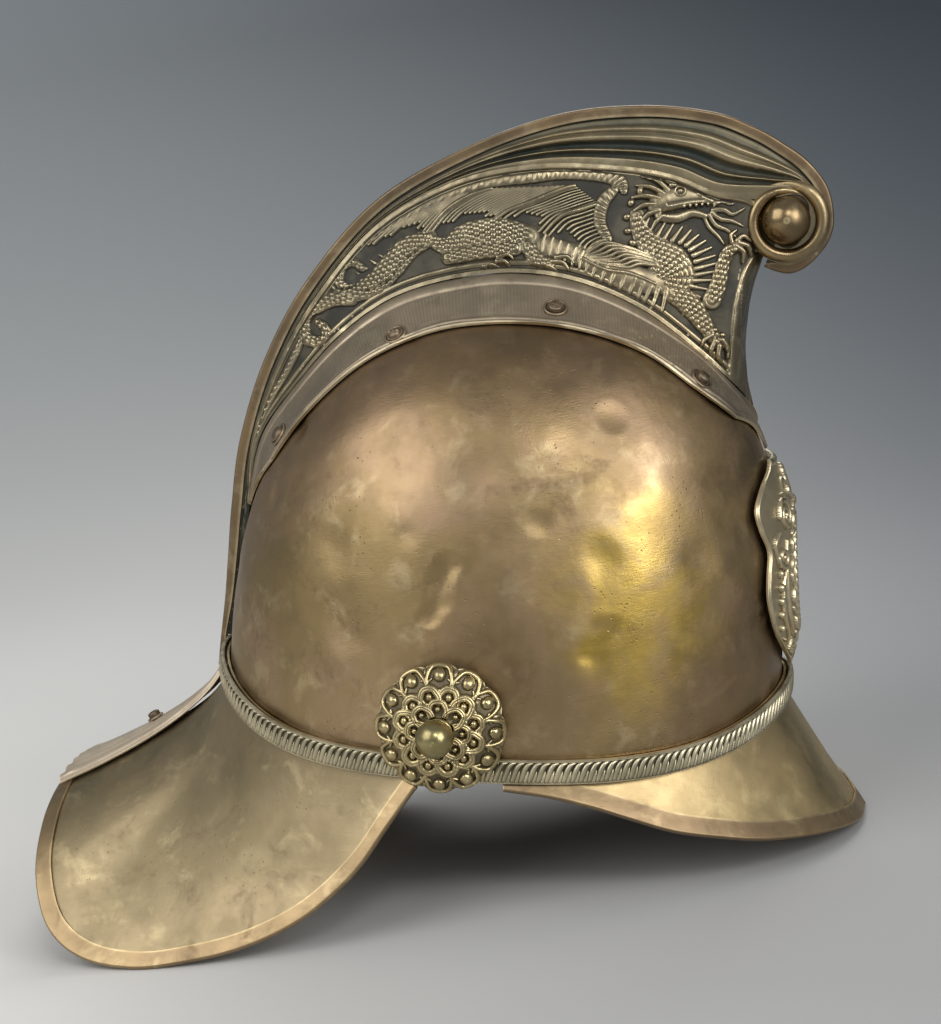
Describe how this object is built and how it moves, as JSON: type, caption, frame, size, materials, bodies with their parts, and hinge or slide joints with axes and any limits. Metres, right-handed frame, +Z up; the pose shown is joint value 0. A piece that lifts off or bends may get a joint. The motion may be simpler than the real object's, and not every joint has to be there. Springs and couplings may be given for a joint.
{
  "type": "brass fire helmet",
  "caption": "Brass fire helmet with an embossed comb, riveted front and rear peaks, side rosettes, a front plate, hinged chin strap lugs and a laced leather lining.",
  "frame": {"origin": "middle of the outline's length on the plane of symmetry, on the surface that the helmet stands on", "axes": "+X forward to the front peak, +Y to the wearer's left, +Z up; the helmet stands on the front peak's tip and the rear peak's two lobes"},
  "size_m": [0.3544, 0.254, 0.3],
  "materials": {
    "skull_brass": "aged, warm brown",
    "peak_brass": "aged, pale gold",
    "binding_brass": "aged, rubbed",
    "comb_brass": "aged, grey-brown with grey-green recesses",
    "ornament_brass": "aged, rubbed high points and dark recesses",
    "fitting_brass": "aged",
    "leather": "worn, semi-matte",
    "lace": "waxed linen",
    "cork": "raw cork"
  },
  "bodies": {
    "shell": {"skull": "skull_brass", "front_peak": "peak_brass", "rear_peak": "peak_brass", "front_peak_binding": "binding_brass", "rear_peak_binding": "binding_brass", "peak_rivets_front": "fitting_brass", "peak_rivets_rear": "fitting_brass", "base_band_front": "ornament_brass", "base_band_rear": "ornament_brass", "comb_right": "comb_brass", "comb_left": "comb_brass", "comb_crest_binding": "comb_brass", "comb_bolts_right": "fitting_brass", "comb_bolts_left": "fitting_brass", "comb_nuts_right": "fitting_brass", "comb_nuts_left": "fitting_brass", "comb_tail": "comb_brass", "tail_stud": "fitting_brass", "tail_nut": "fitting_brass", "rosette_right": "ornament_brass", "rosette_left": "ornament_brass", "rosette_bush_right": "fitting_brass", "rosette_bush_left": "fitting_brass", "ball_stud_right": "fitting_brass", "ball_stud_left": "fitting_brass", "stud_washer_right": "fitting_brass", "stud_washer_left": "fitting_brass", "stud_nut_right": "fitting_brass", "stud_nut_left": "fitting_brass", "front_plate": "ornament_brass", "front_plate_nuts": "fitting_brass", "sweatband": "leather", "lining_lace": "lace", "lining_tongue_1": "leather", "lining_tongue_2": "leather", "lining_tongue_3": "leather", "lining_tongue_4": "leather", "lining_tongue_5": "leather", "lining_tongue_6": "leather", "lining_tongue_7": "leather", "lining_tongue_8": "leather", "lining_spacer_1": "cork", "lining_spacer_2": "cork", "lining_spacer_3": "cork", "lining_spacer_4": "cork", "lining_spacer_5": "cork", "lining_spacer_6": "cork"},
    "strap_lug_right": {"strap_lug_right": "fitting_brass"},
    "strap_lug_left": {"strap_lug_left": "fitting_brass"}
  },
  "joints": [
    {"name": "lug_hinge_right", "type": "hinge", "parent": "shell", "child": "strap_lug_right", "pos_m": [0.00416, -0.0908, 0.08007], "axis": [0, 1, 0], "range_deg": [-50, 50]},
    {"name": "lug_hinge_left", "type": "hinge", "parent": "shell", "child": "strap_lug_left", "pos_m": [0.00416, 0.0908, 0.08007], "axis": [0, 1, 0], "range_deg": [-50, 50]}
  ]
}
